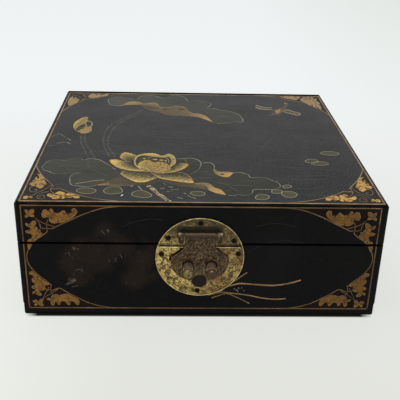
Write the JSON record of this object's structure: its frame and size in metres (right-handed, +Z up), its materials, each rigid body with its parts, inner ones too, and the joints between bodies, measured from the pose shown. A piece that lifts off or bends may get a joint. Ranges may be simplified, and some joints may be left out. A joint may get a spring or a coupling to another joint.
{
  "type": "lacquer box",
  "caption": "Square wooden lacquered box with a hinged lid, a round split lock plate and a hasp over two studs for a lock bar.",
  "frame": {"origin": "centre of the box's bottom face, on the surface that it stands on", "axes": "+Z up, -Y out of the front with the lock, +X to the right seen from the front"},
  "size_m": [0.3, 0.3268, 0.105],
  "materials": {
    "black_lacquer": "satin",
    "bamboo": "matte",
    "engraved_brass": "satin",
    "dark_bronze": "satin",
    "nail_brass": "satin",
    "hinge_brass": "satin",
    "gold_paint": "satin",
    "pond_paint": "satin"
  },
  "bodies": {
    "base": {"bottom_board": "black_lacquer", "base_front_wall": "black_lacquer", "base_back_wall": "black_lacquer", "base_left_wall": "black_lacquer", "base_right_wall": "black_lacquer", "bottom_dowels": "bamboo", "lock_plate_lower": "engraved_brass", "hasp_stud_left": "dark_bronze", "hasp_stud_right": "dark_bronze", "lock_plate_nails_lower": "nail_brass", "hasp_stud_washers": "hinge_brass", "hinge_leaf_base_left": "hinge_brass", "hinge_leaf_base_right": "hinge_brass", "hinge_pin_left": "hinge_brass", "hinge_pin_right": "hinge_brass", "hinge_screws_base": "hinge_brass"},
    "lid": {"lid_top_panel": "black_lacquer", "lid_front_wall": "black_lacquer", "lid_back_wall": "black_lacquer", "lid_left_wall": "black_lacquer", "lid_right_wall": "black_lacquer", "panel_dowels": "bamboo", "lock_plate_upper": "engraved_brass", "lock_plate_nails_upper": "nail_brass", "hasp_eye_left": "dark_bronze", "hasp_eye_right": "dark_bronze", "hasp_eye_washers": "hinge_brass", "hasp_hinge_pin": "dark_bronze", "hinge_leaf_lid_left": "hinge_brass", "hinge_leaf_lid_right": "hinge_brass", "hinge_screws_lid": "hinge_brass"},
    "hasp": {"hasp_plate": "dark_bronze", "hasp_ring_rivets": "dark_bronze"}
  },
  "joints": [
    {"name": "lid_hinge", "type": "hinge", "parent": "base", "child": "lid", "pos_m": [0, 0.1514, 0.0695], "axis": [-1, 0, 0], "range_deg": [0, 100]},
    {"name": "hasp_swing", "type": "hinge", "parent": "lid", "child": "hasp", "pos_m": [-0.0017, -0.1587, 0.0798], "axis": [-1, 0, 0], "range_deg": [0, 180]}
  ]
}
